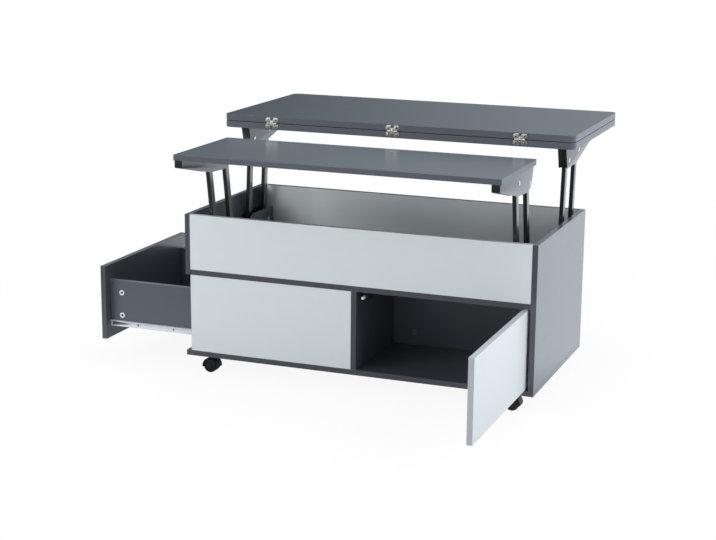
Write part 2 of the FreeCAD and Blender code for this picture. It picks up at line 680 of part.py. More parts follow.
def latch():
    half = latch_body_w / 2
    bore_len = plunger_len + plunger_out + reveal
    y0 = front_in + latch_body_set
    y1 = plunger_tip_y + bore_len + latch_wall
    axis = vec(plunger_x, plunger_tip_y, plunger_z)
    body = joined([rod(vec(plunger_x, y0, plunger_z), Y, half, y1 - y0),
                   box(plunger_x - half, plunger_x + half, y0, y1, plunger_z, shelf_z0)])
    stem = rod(axis, Y, plunger_r, plunger_len)
    tip = [e for e in stem.Edges if e.Closed and abs(e.CenterOfMass.y - plunger_tip_y) < run_clear]
    parts["latch_body"] = body.cut(rod(axis, Y, plunger_r + run_clear, bore_len))
    parts["latch_plunger"] = stem.makeFillet(plunger_tip_r, tip)


def caster(name, x, y):
    """Twin-wheel caster, drawn with its axle along X and then turned about its swivel pin."""
    axle_y = y + swivel_trail
    inner_r = wheel_r + hood_gap
    outer_r = inner_r + hood_t
    half = hood_web / 2
    wide = half + side_clear + wheel_w
    plate_z = caster_h - caster_plate_t

    def across(radius, reach):
        return rod(vec(x - reach, axle_y, wheel_r), X, radius, 2 * reach)

    wing = caster_plate / 2
    plate = box(x - wing, x + wing, y - wing, y + wing, plate_z, caster_h)
    plate = plate.makeFillet(caster_plate_r, along(plate, Z))
    plate = joined([plate, rod(vec(x, y, plate_z - swivel_pin_len), Z, swivel_pin_r, swivel_pin_len)])

    above = box(x - wide, x + wide, axle_y - outer_r, axle_y + outer_r, wheel_r - hood_below, caster_h)
    cover = across(outer_r, wide).cut(across(inner_r, wide)).common(above)
    web = across(inner_r + hood_t / 2, half).common(above)
    boss = rod(vec(x, y, wheel_r), Z, swivel_boss_r, plate_z - side_clear - wheel_r)
    boss = boss.cut(across(inner_r, wide))
    swivel_bore = rod(vec(x, y, plate_z - swivel_pin_len - side_clear), Z, swivel_pin_r + run_clear, caster_h)
    hood = joined([cover, web, boss, across(axle_hub_r, half)])
    hood = hood.cut([across(axle_r + run_clear, wide), swivel_bore])

    wheels = [across(axle_r, wide)]
    for side in (-1, 1):
        disc = rod(vec(x + side * (half + side_clear), axle_y, wheel_r), X * side, wheel_r, wheel_w)
        disc = disc.makeFillet(wheel_edge_r, [e for e in disc.Edges if e.Closed])
        wheels.append(disc.cut(across(axle_r, wide)))
    for shape in [hood] + wheels:
        shape.rotate(vec(x, y, 0), Z, caster_turn[name])
    parts[f"caster_hood_{name}"] = hood
    parts[f"caster_wheels_{name}"] = Part.makeCompound(wheels)
    return plate


def casters():
    plates = []
    for label, side in (("left", -1), ("right", 1)):
        x = side * (side_x - caster_inset_x)
        plates.append(caster(f"front_{label}", x, front_y + caster_inset_y))
        plates.append(caster(f"rear_{label}", x, back_y - caster_inset_y))
    parts["caster_plates"] = Part.makeCompound(plates)


def main():
    case_boards()
    lifts()
    tops()
    drawer()
    door()
    latch()
    casters()
    os.makedirs("parts", exist_ok=True)
    for name, shape in parts.items():
        shape.translate(-origin)
        shape.exportStep(f"parts/{name}.step")
        state = "valid" if shape.isValid() else "not valid"
        print(name, len(shape.Solids), "solids", round(shape.Volume), "mm3", state)


main()
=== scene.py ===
import bpy
import bmesh
import json
import math
from mathutils import Matrix, Vector


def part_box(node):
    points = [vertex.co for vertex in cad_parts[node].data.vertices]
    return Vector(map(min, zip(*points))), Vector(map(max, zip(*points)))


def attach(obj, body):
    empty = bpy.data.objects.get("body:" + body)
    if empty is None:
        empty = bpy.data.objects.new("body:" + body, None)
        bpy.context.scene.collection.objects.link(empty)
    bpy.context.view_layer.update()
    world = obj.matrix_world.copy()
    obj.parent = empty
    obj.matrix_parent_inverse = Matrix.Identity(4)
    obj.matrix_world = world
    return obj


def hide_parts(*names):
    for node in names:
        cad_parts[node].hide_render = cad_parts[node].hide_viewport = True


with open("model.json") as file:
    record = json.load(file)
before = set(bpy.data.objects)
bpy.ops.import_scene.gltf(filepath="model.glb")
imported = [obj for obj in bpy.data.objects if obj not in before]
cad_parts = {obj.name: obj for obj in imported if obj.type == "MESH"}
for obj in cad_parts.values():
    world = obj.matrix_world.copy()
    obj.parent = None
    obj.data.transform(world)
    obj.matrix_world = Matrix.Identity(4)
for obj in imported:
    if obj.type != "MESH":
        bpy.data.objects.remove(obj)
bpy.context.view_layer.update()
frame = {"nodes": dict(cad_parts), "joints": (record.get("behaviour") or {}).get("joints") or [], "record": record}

nodes = frame["nodes"]
pivots = {joint["name"]: Vector(joint["pos_m"]) for joint in frame["joints"] if "pos_m" in joint}


def shade(red, green, blue):
    # screen colour 0..255 to the linear colour that a shader takes
    def linear(c):
        c = c / 255
        return c / 12.92 if c <= 0.04045 else ((c + 0.055) / 1.055) ** 2.4
    return (linear(red), linear(green), linear(blue), 1.0)


# shader nodes

def addNode(tree, kind, values=None, **settings):
    node = tree.nodes.new(kind)
    for label, value in settings.items():
        setattr(node, label, value)
    for label, value in (values or {}).items():
        node.inputs[label].default_value = value
    return node


def feed(tree, socket, value):
    # another node's output, or a plain value
    if hasattr(value, "is_output"):
        tree.links.new(value, socket)
    else:
        socket.default_value = value


def mixColour(tree, factor, first, second):
    mix = addNode(tree, "ShaderNodeMix", data_type="RGBA")
    feed(tree, mix.inputs["Factor"], factor)
    feed(tree, mix.inputs[6], first)        # the two colours have these places in the node
    feed(tree, mix.inputs[7], second)
    return mix.outputs[2]


def maths(tree, operation, first, second=None, third=None, clamp=False):
    node = addNode(tree, "ShaderNodeMath", operation=operation, use_clamp=clamp)
    for socket, value in zip(node.inputs, (first, second, third)):
        if value is not None:
            feed(tree, socket, value)
    return node.outputs[0]


def rangeOf(tree, value, low, high, lowTo, highTo):
    node = addNode(tree, "ShaderNodeMapRange",
                   {"From Min": low, "From Max": high, "To Min": lowTo, "To Max": highTo})
    tree.links.new(value, node.inputs["Value"])
    return node.outputs["Result"]


def giveBump(tree, shader, height, strength, depth):
    bump = addNode(tree, "ShaderNodeBump", {"Strength": strength, "Distance": depth})
    tree.links.new(height, bump.inputs["Height"])
    tree.links.new(bump.outputs["Normal"], shader.inputs["Normal"])


# shared shader groups

def newGroup(name, inputs, outputs):
    group = bpy.data.node_groups.new(name, "ShaderNodeTree")
    for label, kind, value in inputs:
        socket = group.interface.new_socket(name=label, in_out="INPUT", socket_type=kind)
        socket.default_value = value
    for label, kind in outputs:
        group.interface.new_socket(name=label, in_out="OUTPUT", socket_type=kind)
    return group, group.nodes.new("NodeGroupInput"), group.nodes.new("NodeGroupOutput")


def drawnPlace(group, source):
    # object coordinates times the group's Stretch
    place = addNode(group, "ShaderNodeTexCoord")
    drawn = addNode(group, "ShaderNodeVectorMath", operation="MULTIPLY")
    group.links.new(place.outputs["Object"], drawn.inputs[0])
    group.links.new(source.outputs["Stretch"], drawn.inputs[1])
    return drawn.outputs[0]


grainSet = {"poreShare": 0.6, "cloudShare": 0.4, "cloudScale": 0.06}      # scale against the pores'


def makeBoardGrain():
    # long pores and soft clouds of a printed wood laminate, drawn out along one axis by Stretch
    group, source, sink = newGroup("boardGrain", [
        ("Stretch", "NodeSocketVector", (1, 1, 1)),
        ("Fineness", "NodeSocketFloat", 900.0),
        ("Contrast", "NodeSocketFloat", 0.5),
    ], [("Tone", "NodeSocketFloat"), ("Height", "NodeSocketFloat")])
    drawn = drawnPlace(group, source)
    fineness = source.outputs["Fineness"]
    pores = addNode(group, "ShaderNodeTexNoise", {"Detail": 5.0, "Roughness": 0.62})
    clouds = addNode(group, "ShaderNodeTexNoise", {"Detail": 3.0, "Roughness": 0.5})
    cloudScale = maths(group, "MULTIPLY", fineness, grainSet["cloudScale"])
    for noise, scale in ((pores, fineness), (clouds, cloudScale)):
        group.links.new(drawn, noise.inputs["Vector"])
        group.links.new(scale, noise.inputs["Scale"])
    both = maths(group, "ADD", maths(group, "MULTIPLY", pores.outputs["Fac"], grainSet["poreShare"]),
                 maths(group, "MULTIPLY", clouds.outputs["Fac"], grainSet["cloudShare"]))
    tone = maths(group, "MULTIPLY_ADD", maths(group, "SUBTRACT", both, 0.5), source.outputs["Contrast"], 0.5,
                 clamp=True)
    group.links.new(tone, sink.inputs["Tone"])
    group.links.new(pores.outputs["Fac"], sink.inputs["Height"])
    return group


edgeSet = {"start": 0.75, "steep": 4.0}      # squared cosine to the broad face, and how fast the edge begins


def makeEdgeBand():
    # 1 on a board's narrow edges, 0 on its two broad faces; Across is the board's own thickness axis
    group, source, sink = newGroup("edgeBand", [("Across", "NodeSocketVector", (0, 0, 1))],
                                   [("Edge", "NodeSocketFloat")])
    place = addNode(group, "ShaderNodeTexCoord")
    facing = addNode(group, "ShaderNodeVectorMath", operation="DOT_PRODUCT")
    group.links.new(place.outputs["Normal"], facing.inputs[0])
    group.links.new(source.outputs["Across"], facing.inputs[1])
    square = maths(group, "POWER", maths(group, "ABSOLUTE", facing.outputs["Value"]), 2.0)
    edge = maths(group, "MULTIPLY", maths(group, "SUBTRACT", edgeSet["start"], square), edgeSet["steep"],
                 clamp=True)
    group.links.new(edge, sink.inputs["Edge"])
    return group


def makeFineSkin():
    # small bumps and slow mottling of paint and moulded plastic
    group, source, sink = newGroup("fineSkin", [
        ("Bump Scale", "NodeSocketFloat", 900.0),
        ("Mottle Scale", "NodeSocketFloat", 25.0),
    ], [("Mottle", "NodeSocketFloat"), ("Height", "NodeSocketFloat")])
    place = addNode(group, "ShaderNodeTexCoord")
    bumps = addNode(group, "ShaderNodeTexNoise", {"Detail": 2.0, "Roughness": 0.5})
    mottle = addNode(group, "ShaderNodeTexNoise", {"Detail": 4.0, "Roughness": 0.6})
    for noise, scale, out in ((bumps, "Bump Scale", "Height"), (mottle, "Mottle Scale", "Mottle")):
        group.links.new(place.outputs["Object"], noise.inputs["Vector"])
        group.links.new(source.outputs[scale], noise.inputs["Scale"])
        group.links.new(noise.outputs["Fac"], sink.inputs[out])
    return group


def makeBrushing():
    # short drawn scratches on plated metal
    group, source, sink = newGroup("brushing", [
        ("Stretch", "NodeSocketVector", (1, 1, 8)),
        ("Scale", "NodeSocketFloat", 700.0),
    ], [("Scratch", "NodeSocketFloat"), ("Cloud", "NodeSocketFloat")])
    place = addNode(group, "ShaderNodeTexCoord")
    scratch = addNode(group, "ShaderNodeTexNoise", {"Detail": 6.0, "Roughness": 0.7})
    cloud = addNode(group, "ShaderNodeTexNoise", {"Scale": 60.0, "Detail": 3.0})
    group.links.new(drawnPlace(group, source), scratch.inputs["Vector"])
    group.links.new(source.outputs["Scale"], scratch.inputs["Scale"])
    group.links.new(place.outputs["Object"], cloud.inputs["Vector"])
    group.links.new(scratch.outputs["Fac"], sink.inputs["Scratch"])
    group.links.new(cloud.outputs["Fac"], sink.inputs["Cloud"])
    return group


boardGrain = makeBoardGrain()
edgeBand = makeEdgeBand()
fineSkin = makeFineSkin()
brushing = makeBrushing()


# finishes

def newFinish(name, fixed):
    # a material with its Principled shader; fixed holds what is the same all over the surface
    finish = bpy.data.materials.new(name)
    finish.use_nodes = True
    shader = finish.node_tree.nodes["Principled BSDF"]
    for label, value in fixed.items():
        shader.inputs[label].default_value = value
    return finish.node_tree, shader, finish


def placeGroup(tree, group, values):
    return addNode(tree, "ShaderNodeGroup", values, node_tree=group)


axes = {"x": (1, 0, 0), "y": (0, 1, 0), "z": (0, 0, 1)}

laminate = {
    "dark": {"face": shade(70, 76, 83), "faceLow": shade(62, 67, 74), "edge": shade(72, 73, 81)},
    "side": {"face": shade(86, 93, 103), "faceLow": shade(79, 86, 95), "edge": shade(82, 84, 92)},
    "leaf": {"face": shade(67, 74, 80), "faceLow": shade(58, 65, 72), "edge": shade(92, 95, 103)},
    # inner: the same dark laminate painted lighter, as painted light on the support top
    "inner": {"face": shade(88, 97, 103), "faceLow": shade(79, 88, 94), "edge": shade(86, 89, 97)},
    "light": {"face": shade(205, 213, 215), "faceLow": shade(198, 206, 209), "edge": shade(166, 169, 178)},
    # back: the light grey laminate of the front panels, painted whiter as painted light inside the shaded box
    "back": {"face": shade(228, 235, 237), "faceLow": shade(221, 228, 231), "edge": shade(72, 73, 81)},
    "pore": 0.00006,       # depth of the pores
    "drawOut": 0.05,       # scale along the grain against across it
    "fineness": 850.0,
    "contrast": 1.0,
    "roughSpread": 0.03,
}


def laminateFinish(name, tint, across, grainAlong, fixed, rough, relief):
    tree, shader, finish = newFinish(name, fixed)
    tint, spread = laminate[tint], laminate["roughSpread"]
    stretch = [laminate["drawOut"] if axis == grainAlong else 1.0 for axis in "xyz"]
    grain = placeGroup(tree, boardGrain, {"Stretch": stretch, "Fineness": laminate["fineness"],
                                          "Contrast": laminate["contrast"]})
    band = placeGroup(tree, edgeBand, {"Across": axes[across]})
    tone = grain.outputs["Tone"]
    face = mixColour(tree, tone, tint["faceLow"], tint["face"])
    tree.links.new(mixColour(tree, band.outputs["Edge"], face, tint["edge"]), shader.inputs["Base Color"])
    roughness = rangeOf(tree, tone, 0.0, 1.0, rough + spread, rough - spread)
    tree.links.new(roughness, shader.inputs["Roughness"])
    if relief:
        giveBump(tree, shader, grain.outputs["Height"], relief, laminate["pore"])
    return finish


plating = {"scratchScale": 900.0, "bump": 0.08, "depth": 0.00004}


def platedFinish(name, bright, dull, smoothest, roughest, stretch):
    tree, shader, finish = newFinish(name, {"Metallic": 1.0})
    marks = placeGroup(tree, brushing, {"Stretch": stretch, "Scale": plating["scratchScale"]})
    scratch = marks.outputs["Scratch"]
    tree.links.new(mixColour(tree, marks.outputs["Cloud"], dull, bright), shader.inputs["Base Color"])
    tree.links.new(rangeOf(tree, scratch, 0.0, 1.0, smoothest, roughest), shader.inputs["Roughness"])
    giveBump(tree, shader, scratch, plating["bump"], plating["depth"])
    return finish


skins = {
    "paint": {"bumpScale": 1300.0, "mottleScale": 35.0, "roughSpread": 0.06, "bump": 0.3, "depth": 0.00008},
    "epoxy": {"bumpScale": 900.0, "mottleScale": 40.0, "roughSpread": 0.05, "bump": 0.2, "depth": 0.00006},
    "nylon": {"bumpScale": 1500.0, "mottleScale": 40.0, "roughSpread": 0.05, "bump": 0.2, "depth": 0.00006},
}


def skinFinish(name, kind, colour, low, rough, fixed):
    # paint and moulded plastic
    tree, shader, finish = newFinish(name, fixed)
    skin = skins[kind]
    spread = skin["roughSpread"]
    marks = placeGroup(tree, fineSkin, {"Bump Scale": skin["bumpScale"], "Mottle Scale": skin["mottleScale"]})
    mottle = marks.outputs["Mottle"]
    tree.links.new(mixColour(tree, mottle, low, colour), shader.inputs["Base Color"])
    roughness = rangeOf(tree, mottle, 0.0, 1.0, rough - spread, rough + spread)
    tree.links.new(roughness, shader.inputs["Roughness"])
    giveBump(tree, shader, marks.outputs["Height"], skin["bump"], skin["depth"])
    return finish


finishes = {
    "zinc_steel": platedFinish("brightZinc", shade(226, 228, 230), shade(196, 198, 203), 0.18, 0.4,
                               (1, 6, 1)),
    "nickel": platedFinish("polishedNickel", shade(232, 229, 222), shade(212, 208, 200), 0.4, 0.56,
                           (6, 1, 1)),
    "black_steel": skinFinish("satinBlackPaint", "paint", shade(27, 28, 31), shade(22, 23, 26), 0.34,
                              {"IOR": 1.5, "Coat Weight": 1.0, "Coat IOR": 1.75, "Coat Roughness": 0.16}),
    "rivetSteel": platedFinish("rivetSteel", shade(232, 233, 235), shade(206, 208, 212), 0.08, 0.16,
                               (1, 1, 1)),
    # zinc of the cam cores, coloured darker than the bright zinc as painted shade of the recess they sit in
    "recessShadedZinc": platedFinish("recessShadedZinc", shade(112, 114, 118), shade(84, 86, 90), 0.4, 0.6, (1, 1, 1)),
    "white_steel": skinFinish("whiteEpoxy", "epoxy", shade(219, 221, 229), shade(210, 212, 221), 0.32,
                              {"IOR": 1.5, "Coat Weight": 0.2, "Coat Roughness": 0.15}),
    "white_plastic": skinFinish("whiteNylon", "nylon", shade(238, 238, 236), shade(226, 226, 224), 0.42,
                                {"Subsurface Weight": 0.08, "Subsurface Radius": (0.002, 0.002, 0.002)}),
    "black_plastic": skinFinish("blackNylon", "nylon", shade(34, 34, 37), shade(27, 27, 30), 0.4,
                                {"IOR": 1.5}),
    "capGrey": skinFinish("capGrey", "nylon", shade(92, 94, 99), shade(82, 84, 89), 0.4, {"IOR": 1.5}),
    "bumper_rubber": skinFinish("bumperRubber", "nylon", shade(70, 70, 72), shade(56, 56, 58), 0.75,
                                {"IOR": 1.45}),
}

boardGloss = {
    "case": {"IOR": 1.5, "Coat Weight": 0.75, "Coat IOR": 1.55, "Coat Roughness": 0.18},
    "inner": {"IOR": 1.45},
    "top": {"IOR": 1.38},
    "front": {"IOR": 1.45},
}
# boards: (nodes, tint, thickness axis, grain axis, gloss, roughness, relief of the pores)
boardSets = [
    (("bottom_board", "middle_shelf", "drawer_bottom"), "dark", "z", "x", "case", 0.34, 0.05),
    (("right_side_panel",), "dark", "x", "y", "case", 0.3, 0.03),
    (("left_side_panel", "centre_divider"), "dark", "x", "y", "inner", 0.36, 0.05),
    (("lower_back_panels",), "dark", "y", "x", "case", 0.32, 0.05),
    (("drawer_sides",), "side", "y", "x", "case", 0.32, 0.05),
    # the upper back panel takes the whiter back tint: painted light
    (("upper_back_panel",), "back", "y", "x", "front", 0.4, 0.05),
    (("drawer_front", "drawer_back"), "dark", "x", "y", "case", 0.34, 0.05),
    (("lower_leaf", "upper_leaf"), "leaf", "z", "x", "top", 0.25, 0.0),
    # the support top takes the lighter inner tint: painted light
    (("support_top",), "inner", "z", "x", "top", 0.23, 0.0),
    (("upper_front_panel", "lower_front_panel"), "light", "y", "x", "front", 0.4, 0.05),
    (("door_panel",), "light", "x", "y", "front", 0.4, 0.05),
]


def dress(node, finish):
    mesh = nodes[node].data
    mesh.materials.clear()
    mesh.materials.append(finish)


def dressNodes():
    boards = set()
    for number, (names, tint, across, grainAlong, gloss, rough, relief) in enumerate(boardSets):
        finish = laminateFinish(f"{tint}Laminate{number}", tint, across, grainAlong, boardGloss[gloss], rough,
                                relief)
        for node in names:
            dress(node, finish)
            boards.add(node)
    for subpart in frame["record"]["subparts"]:
        if subpart["node"] not in boards:
            dress(subpart["node"], finishes[subpart["material_slot"]])


dressNodes()
print("finishes placed on", len(nodes), "nodes")

# shapes
tiny = 1e-6                 # points nearer than this are one
cornerSegments = 6          # of a rounded outline
bendSegments = 3            # of a bent or eased edge


def joinShapes(shapes):
    # several bmeshes into one
    whole = bmesh.new()
    for shape in shapes:
        carrier = bpy.data.meshes.new("carrier")
        shape.to_mesh(carrier)
        shape.free()
        whole.from_mesh(carrier)
        bpy.data.meshes.remove(carrier)
    return whole


def addPiece(name, shape, body, slot, stoodFor=(), look=None, sharp=40):
    # look is a finish other than the slot's own, sharp the least angle of an edge that isn't smoothed
    bmesh.ops.recalc_face_normals(shape, faces=shape.faces)
    mesh = bpy.data.meshes.new(name)
    shape.to_mesh(mesh)
    shape.free()
    mesh.shade_smooth()
    mesh.set_sharp_from_angle(angle=math.radians(sharp))
    mesh.materials.append(finishes[look or slot])
    piece = bpy.data.objects.new(name, mesh)
    bpy.context.scene.collection.objects.link(piece)
    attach(piece, body)
    if stoodFor:
        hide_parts(*stoodFor)


def bevel(shape, parts, radius, segments, affect="EDGES"):
    bmesh.ops.bevel(shape, geom=parts, offset=radius, offset_type="OFFSET", segments=segments, profile=0.5,
                    affect=affect, material=-1, clamp_overlap=True)


def extrudeFaces(shape, faces, way):
    # grows faces along way and gives the points that moved
    grown = bmesh.ops.extrude_face_region(shape, geom=faces)
    moved = [part for part in grown["geom"] if isinstance(part, bmesh.types.BMVert)]
    bmesh.ops.translate(shape, vec=way, verts=moved)
    return moved


def closedLine(shape, points):
    verts = [shape.verts.new(point) for point in points]
    return verts, [shape.edges.new((verts[i - 1], verts[i])) for i in range(len(verts))]


def spun(profile, steps):
    # (along, radius) points spun about Z
    shape = bmesh.new()
    line = [shape.verts.new((radius, 0, along)) for along, radius in profile]
    edges = [shape.edges.new(pair) for pair in zip(line, line[1:])]
    bmesh.ops.spin(shape, geom=line + edges, cent=(0, 0, 0), axis=(0, 0, 1), angle=2 * math.pi, steps=steps,
                   use_merge=True)
    bmesh.ops.remove_doubles(shape, verts=shape.verts, dist=tiny)
    return shape


def standAt(shape, place, axis):
    # a shape made along Z is turned to axis and starts at place
    turn = Vector((0, 0, 1)).rotation_difference(Vector(axis)).to_matrix().to_4x4()
    bmesh.ops.transform(shape, matrix=Matrix.Translation(place) @ turn, verts=shape.verts)
    return shape


def turned(profile, place, axis, steps):
    shape = standAt(spun(profile, steps), place, axis)
    bmesh.ops.recalc_face_normals(shape, faces=shape.faces)
    return shape


def easedPin(radius, length, ease=0.2):
    # profile of a round bar whose ends are eased by a share of its radius
    shoulder, cut = radius * (1 - ease), radius * ease
    return [(0, 0), (0, shoulder), (cut, radius), (length - cut, radius), (length, shoulder), (length, 0)]


def rounded(low, high, radius, segments=2):
    # block between two corners with eased edges
    shape = bmesh.new()
    low, high = Vector(low), Vector(high)
    bmesh.ops.create_cube(shape, size=1.0)
    bmesh.ops.scale(shape, vec=high - low, verts=shape.verts)
    bmesh.ops.translate(shape, vec=(high + low) / 2, verts=shape.verts)
    bevel(shape, shape.edges[:], radius, segments)
    return shape


def outlineFace(corners, x):
    # face in the plane x through (y, z, radius) corners, the round ones bevelled
    shape = bmesh.new()
    verts = [shape.verts.new((x, y, z)) for y, z, radius in corners]
    shape.faces.new(verts)
    for radius in sorted({corner[2] for corner in corners if corner[2] > 0}):
        chosen = [vert for vert, corner in zip(verts, corners) if corner[2] == radius and vert.is_valid]
        bevel(shape, chosen, radius, cornerSegments, "VERTICES")
    bmesh.ops.remove_doubles(shape, verts=shape.verts, dist=tiny)      # where two rounds meet
    return shape


def isCheek(face):
    return abs(face.normal.x) > 0.5      # faces across the sheet's width, not a wall between


def foldedSheet(corners, x0, x1, keepWall, sheet):
    # bent sheet: two cheeks with the given outline and the walls between them that keepWall picks
    shape = outlineFace(corners, x0)
    extrudeFaces(shape, shape.faces[:], (x1 - x0, 0, 0))
    bmesh.ops.recalc_face_normals(shape, faces=shape.faces)
    walls = [face for face in shape.faces if not isCheek(face)]
    kept = [face for face in walls if keepWall(face)]
    bends = []      # where a kept wall meets a cheek or another kept wall
    for edge in shape.edges:
        keptBeside = [face for face in edge.link_faces if face in kept]
        if len(keptBeside) == 2 or (keptBeside and any(isCheek(face) for face in edge.link_faces)):
            bends.append(edge)
    bmesh.ops.delete(shape, geom=[face for face in walls if face not in kept], context="FACES")
    bevel(shape, bends, sheet["bend"], bendSegments)
    bmesh.ops.solidify(shape, geom=shape.faces[:], thickness=sheet["sheet"])
    return shape


# screw heads: (share of the height, share of the radius) from the seat to the flat top, and a cross recess
headSet = {"profile": ((0.0, 0.0), (0.0, 0.97), (0.45, 1.0), (0.8, 0.88), (1.0, 0.66)), "steps": 24,
           "armHalf": 0.13, "deep": 0.6, "taper": 0.7}


def crossHead(radius, height, place, axis, reach=0.55):
    shape = spun([(height * rise, radius * out) for rise, out in headSet["profile"]], headSet["steps"])
    rim = [edge for edge in shape.edges if all(abs(vert.co.z - height) < tiny for vert in edge.verts)]
    arm, half = radius * reach, radius * headSet["armHalf"]
    cross, quarter = [], [(arm, -half), (arm, half), (half, half)]
    for turn in range(4):
        cross += [(x, y, height) for x, y in quarter]
        quarter = [(-y, x) for x, y in quarter]
    corners, slot = closedLine(shape, cross)
    bmesh.ops.bridge_loops(shape, edges=rim + slot)
    floor = extrudeFaces(shape, [shape.faces.new(corners)], (0, 0, -height * headSet["deep"]))
    lids = [face for face in shape.faces
            if len(face.verts) == len(cross) and face.calc_center_median().z > height - tiny]
    bmesh.ops.delete(shape, geom=lids, context="FACES_ONLY")
    bmesh.ops.scale(shape, vec=(headSet["taper"], headSet["taper"], 1), verts=floor)
    return standAt(shape, place, axis)


sides = {"left": -1, "right": 1}
middleX = sum(corner.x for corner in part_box("lower_leaf")) / 2
lengthways = Vector((1, 0, 0))
forward = Vector((0, -1, 0))
up = Vector((0, 0, 1))

# pivots of a lift's lead arms, trail arms and top
liftJoints = {
    "rear": ("rear_lift", "rear_trail_swing", "rear_top_level"),
    "front": ("front_lift", "front_trail_swing", "front_top_level"),
}


def basePivots(lift):
    return [pivots[joint] for joint in liftJoints[lift][:2]]


def topPivots(lift):
    lead, trail, top = (pivots[joint] for joint in liftJoints[lift])
    return top, trail + (top - lead)


# lift arms: channels of pressed steel with rolled bends, web to the front
armSet = {"depth": 0.020, "sheet": 0.0015, "bend": 0.0012, "webCosine": 0.99}


def isArmWeb(face):
    return face.normal.y < -armSet["webCosine"]


def buildArms():
    half = armSet["depth"] / 2
    for lift in liftJoints:
        reach = topPivots(lift)[0] - basePivots(lift)[0]
        top = math.hypot(reach.y, reach.z) + half
        lean = math.atan2(reach.z, reach.y) - math.pi / 2
        outline = [(-half, -half, half), (half, -half, half), (half, top, half), (-half, top, half)]
        for role, pivot in zip(("lead", "trail"), basePivots(lift)):
            place = Matrix.Translation((0, pivot.y, pivot.z)) @ Matrix.Rotation(lean, 4, "X")
            for side in sides:
                node = f"{lift}_{role}_arm_{side}"
                low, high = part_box(node)
                arm = foldedSheet(outline, low.x, high.x, isArmWeb, armSet)
                bmesh.ops.transform(arm, matrix=place, verts=arm.verts)
                addPiece(node + "_channel", arm, f"{lift}_{role}_arms", "black_steel", [node])


buildArms()
print("lift arms built")

# brackets: bent sheet under the tops and on the shelf
bracketSet = {"sheet": 0.002, "bend": 0.0016, "flangeCosine": 0.9, "webCosine": 0.8, "webReach": 0.03}
rearTop = {"webInset": 0.043, "webAhead": 0.021, "under": 0.021, "flat": 0.030, "tail": 0.172,
           "tailHeight": 0.014, "nose": 0.004, "belly": 0.016}
frontTop = {"webInset": 0.002, "webHeight": 0.020, "bellyAhead": 0.008, "belly": 0.033, "keelAhead": 0.020,
            "keel": 0.020, "heelBehind": 0.016, "heel": 0.009, "tail": 0.033, "nose": 0.004, "round": 0.016,
            "heelRound": 0.012}


def rearTopOutline():
    lead, trail = topPivots("rear")
    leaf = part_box("lower_leaf")[0]
    under = lead.z - rearTop["under"]
    end = trail.y + rearTop["tail"]
    return [(leaf.y + rearTop["webInset"], leaf.z, 0), (lead.y - rearTop["webAhead"], under, rearTop["nose"]),
            (trail.y - rearTop["flat"], under, rearTop["belly"]),
            (end, leaf.z - rearTop["tailHeight"], rearTop["nose"]), (end, leaf.z, 0)]


def frontTopOutline():
    lead, trail = topPivots("front")
    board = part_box("support_top")[0]
    web = board.y + frontTop["webInset"]
    return [(web, board.z, 0), (web, board.z - frontTop["webHeight"], frontTop["nose"]),
            (lead.y - frontTop["bellyAhead"], lead.z - frontTop["belly"], frontTop["round"]),
            (trail.y - frontTop["keelAhead"], trail.z - frontTop["keel"], frontTop["round"]),
            (trail.y + frontTop["heelBehind"], trail.z - frontTop["heel"], frontTop["heelRound"]),
            (trail.y + frontTop["tail"], board.z, 0)]


def buildTopBrackets():
    for lift, outline in (("rear", rearTopOutline()), ("front", frontTopOutline())):
        webEnd = min(y for y, z, radius in outline) + bracketSet["webReach"]

        def isFlangeOrWeb(face):
            ahead = face.normal.y < -bracketSet["webCosine"] and face.calc_center_median().y < webEnd
            return ahead or face.normal.z > bracketSet["flangeCosine"]

        for side in sides:
            node = f"{lift}_top_bracket_{side}"
            low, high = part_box(node)
            bracket = foldedSheet(outline, low.x, high.x, isFlangeOrWeb, bracketSet)
            addPiece(node + "_sheet", bracket, f"{lift}_top", "black_steel", [node])


buildTopBrackets()
print("top brackets built")

# feet of the lifts on the shelf
feet = {
    "rear": {"ahead": 0.030, "behind": 0.033, "over": 0.037, "nose": 0.034, "round": 0.012, "wide": 0.030},
    "front": {"ahead": 0.027, "behind": 0.020, "over": 0.020, "past": 0.008, "low": 0.013, "round": 0.012,
              "wide": 0.022},
}


def footSpans(lift):
    # (x0, x1) of the left and the right foot
    low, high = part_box(f"{lift}_base_brackets")
    wide = feet[lift]["wide"]
    return (low.x, low.x + wide), (high.x - wide, high.x)


# rivets: button heads outside both cheeks, collars beside the arm
rivetSet = {"shank": 0.004, "head": 0.0072, "dome": 0.0024, "collar": 0.0065, "float": 0.0003,
            "domeTurns": (0, 18, 36, 54, 70, 82, 90), "steps": 28}


def rivet(pivot, x0, x1, arm0, arm1):
    r, collar, gap, sheetT = rivetSet["shank"], rivetSet["collar"], rivetSet["float"], bracketSet["sheet"]
    turns = [math.radians(turn) for turn in rivetSet["domeTurns"]]
    button = [(rivetSet["dome"] * math.sin(turn), rivetSet["head"] * math.cos(turn)) for turn in turns]
    left = [(x0 - rise, radius) for rise, radius in reversed(button)]
    right = [(x1 + rise, radius) for rise, radius in button]
    middle = [(x0, r), (x0 + sheetT, r), (x0 + sheetT, collar), (arm0 - gap, collar), (arm0 - gap, r),
              (arm1 + gap, r), (arm1 + gap, collar), (x1 - sheetT, collar), (x1 - sheetT, r), (x1, r)]
    return turned(left + middle + right, (0, pivot.y, pivot.z), lengthways, rivetSet["steps"])


